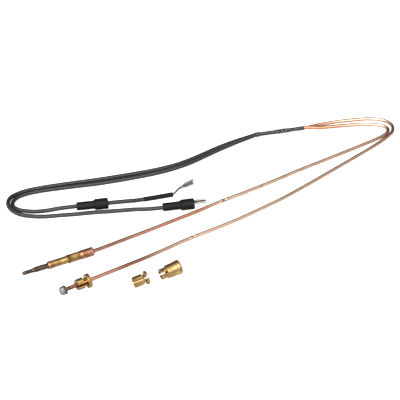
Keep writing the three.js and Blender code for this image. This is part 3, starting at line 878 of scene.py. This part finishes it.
# ---- receptacles and covers ----
def rolled_strip(stations, count=12):
    """A strip folded up along X. A station is (x, half floor width, roll radius, roll angle in degrees)."""
    vertices = []
    for x, flat, radius, turn in stations:
        half = [((flat * k / 3), 0.0, 0.0, 1.0) for k in range(3)]
        for k in range(count + 1):
            a = math.radians(turn) * k / count
            half.append((flat + radius * math.sin(a), radius * (1 - math.cos(a)), -math.sin(a), math.cos(a)))
        line = [(-y, z, -ny, nz) for y, z, ny, nz in reversed(half[1:])] + half
        centre = ROLL_BOTTOM + STRIP / 2
        low = [(x, y - ny * STRIP / 2, centre + z - nz * STRIP / 2) for y, z, ny, nz in line]
        high = [(x, y + ny * STRIP / 2, centre + z + nz * STRIP / 2) for y, z, ny, nz in line]
        vertices += low + high[::-1]
    around = len(vertices) // len(stations)
    faces = grid_faces(len(stations), around)
    for row in (0, len(stations) - 1):
        first = row * around
        for k in range(around // 2 - 1):
            faces.append((first + k, first + k + 1, first + around - 2 - k, first + around - 1 - k))
    return vertices, faces


# the crimp, the neck ahead of it and the rolled blade holder, from the wire's end forward
RECEPTACLE = [
    (0, 0.1, 1.05, 168), (0.15, 0.1, 1.1, 170), (1.5, 0.1, 1.12, 172), (2.9, 0.1, 1.1, 170),
    (CRIMP, 0.2, 0.98, 150),
    (3.7, 0.7, 0.6, 95), (4.0, 1.1, 0.5, 80), (4.3, 1.4, 0.6, 140), (4.6, 1.55, 0.7, 235),
    (4.9, 1.6, 0.74, 272), (5.4, 1.6, 0.74, 280), (9.0, 1.6, 0.74, 280), (12.6, 1.6, 0.74, 280),
    (13.0, 1.62, 0.76, 272), (13.3, 1.65, 0.8, 262),
]


def add_terminals():
    made = []
    for name, node, matrix in (
        ("receptacle_a", "terminal_a", TERMINAL_A),
        ("receptacle_b", "terminal_b", COVER_B @ Matrix.Translation(TERMINAL_B_START)),
    ):
        vertices, faces = rolled_strip(RECEPTACLE)
        made.append(piece(name, vertices, faces, TINNED, "leads", [node], matrix, sharp=50))
    return made


def add_covers():
    """The two insulating covers, narrow over the wire and wide over a receptacle."""
    half, stem, mouth, wire_bore, mouth_bore = 13.5, 3.6, 4.8, 2.3, 4
    outer = softened([
        (-half, 2.4), (-half, 3.45), (-half + 0.5, stem), (1.1, stem), (2.7, mouth), (half - 0.4, mouth),
        (half, 4.55), (half, 4.1),
    ], 0.5, 5)
    bore = softened([(-half, wire_bore), (0.6, wire_bore), (2.4, mouth_bore), (half, mouth_bore)], 0.4)
    made = []
    for name, node, matrix, body, seed in (
        ("boot_a", "terminal_cover_a", COVER_A, "cover_a", 1.0),
        ("boot_b", "terminal_cover_b", COVER_B, "cover_b", 6.0),
    ):
        vertices, faces = lathe(refined(outer, 0.7), bore, 64, pitted(0.1, 0.35, seed))
        made.append(piece(name, vertices, faces, COVER, body, [node], matrix))
    return made


# ---- the loose parts ----
def add_loose_nut():
    barrel, head = 4.7, 5.75
    matrix = lying_on_rims(-69.9, -101.2, yaw=25.5, roll=34, x1=0.5, r1=barrel, x2=10.6, r2=head)
    split_nut(
        "split_nut_body", "loose_split_nut", "spare_nut", matrix,
        barrel=barrel, length=8.2, neck=3.3, neck_length=2.4, head=head, head_length=2.3, bore=1.95, slot=1.5,
        driver=2.2)


def add_adaptor():
    """The adaptor bush, with four sprung fingers cut by two slits that end in round holes."""
    lip, shoulder, rim, counterbore = 4.7, 5.55, 6.1, 3.5
    matrix = lying_on_rims(-48.2, -92.3, yaw=28.6, roll=42, x1=5.6, r1=shoulder, x2=15.4, r2=rim)
    outline = softened([
        (0, 2.75), (0, 4.3), (0.4, lip), (1.4, lip), (1.8, 4.4), (5.5, 4.6), (5.65, 5.5), (15.2, 5.9),
        (15.4, rim), (17.4, rim), (18, 5.5), (18, 3.6),
    ], 0.3)
    bore = [(0, 2.7), (12, 2.7), (12, counterbore), (18, counterbore)]
    vertices, faces = lathe(refined(outline, 0.6), bore, 80, pitted(0.05, 1.0))
    bush = piece("adaptor", vertices, faces, BRASS, "adaptor", ["adaptor_bush"], matrix)
    width, length, hole = 1.2, 4.6, 1.0  # of the slits; hole is the radius of their ends
    reach = math.asin(width / 2 / hole)
    round_end = [
        (length + hole * math.cos(a), hole * math.sin(a))
        for a in np.linspace(-math.pi + reach, math.pi - reach, 24)
    ]
    outline = [(-1, -width / 2)] + round_end + [(-1, width / 2)]
    cut_away(bush, [cutter(matrix @ Matrix.Rotation(a, 4, "X"), outline, -7, 7) for a in (0, math.pi / 2)])


def finish_inner_nodes():
    """The CAD nodes that stay get a worked material in place of the plain one."""
    kept = {
        "thermo_element_wire": SOLDER,
        "probe_insulator": CORE,
        "sensor_splice": TINNED,
        "magnet_splice": TINNED,
        "splice_separator": CORE,
        "earth_bridge": SOLDER,
        "wire_b_conductor": CORE,
        "sensor_lead_conductor": CORE,
        "magnet_lead_conductor": CORE,
    }
    for name, material in kept.items():
        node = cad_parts[name]
        for slot in node.material_slots:
            slot.material = material


def add_floor():
    mesh = bpy.data.meshes.new("floor")
    side = FLOOR_SIDE
    corners = [(-side, -side, 0), (side, -side, 0), (side, side, 0), (-side, side, 0)]
    mesh.from_pydata(corners, [], [(0, 1, 2, 3)])
    mesh.materials.append(studio_floor())
    linked("floor", mesh)


bpy.context.scene.view_settings.view_transform = "Standard"
add_camera()
add_leads()
wires = add_wires()
wire_a_end = add_wire_ends()
receptacle_a, receptacle_b = add_terminals()
boot_a, boot_b = add_covers()
add_probe()
add_sensor_sleeve()
add_magnet_end()
add_joint()
add_loose_nut()
add_adaptor()
finish_inner_nodes()
add_world()
add_light("softbox", location=(-0.25, -1.0, 1.3), size=(0.9, 0.7), watts=12)
add_floor()
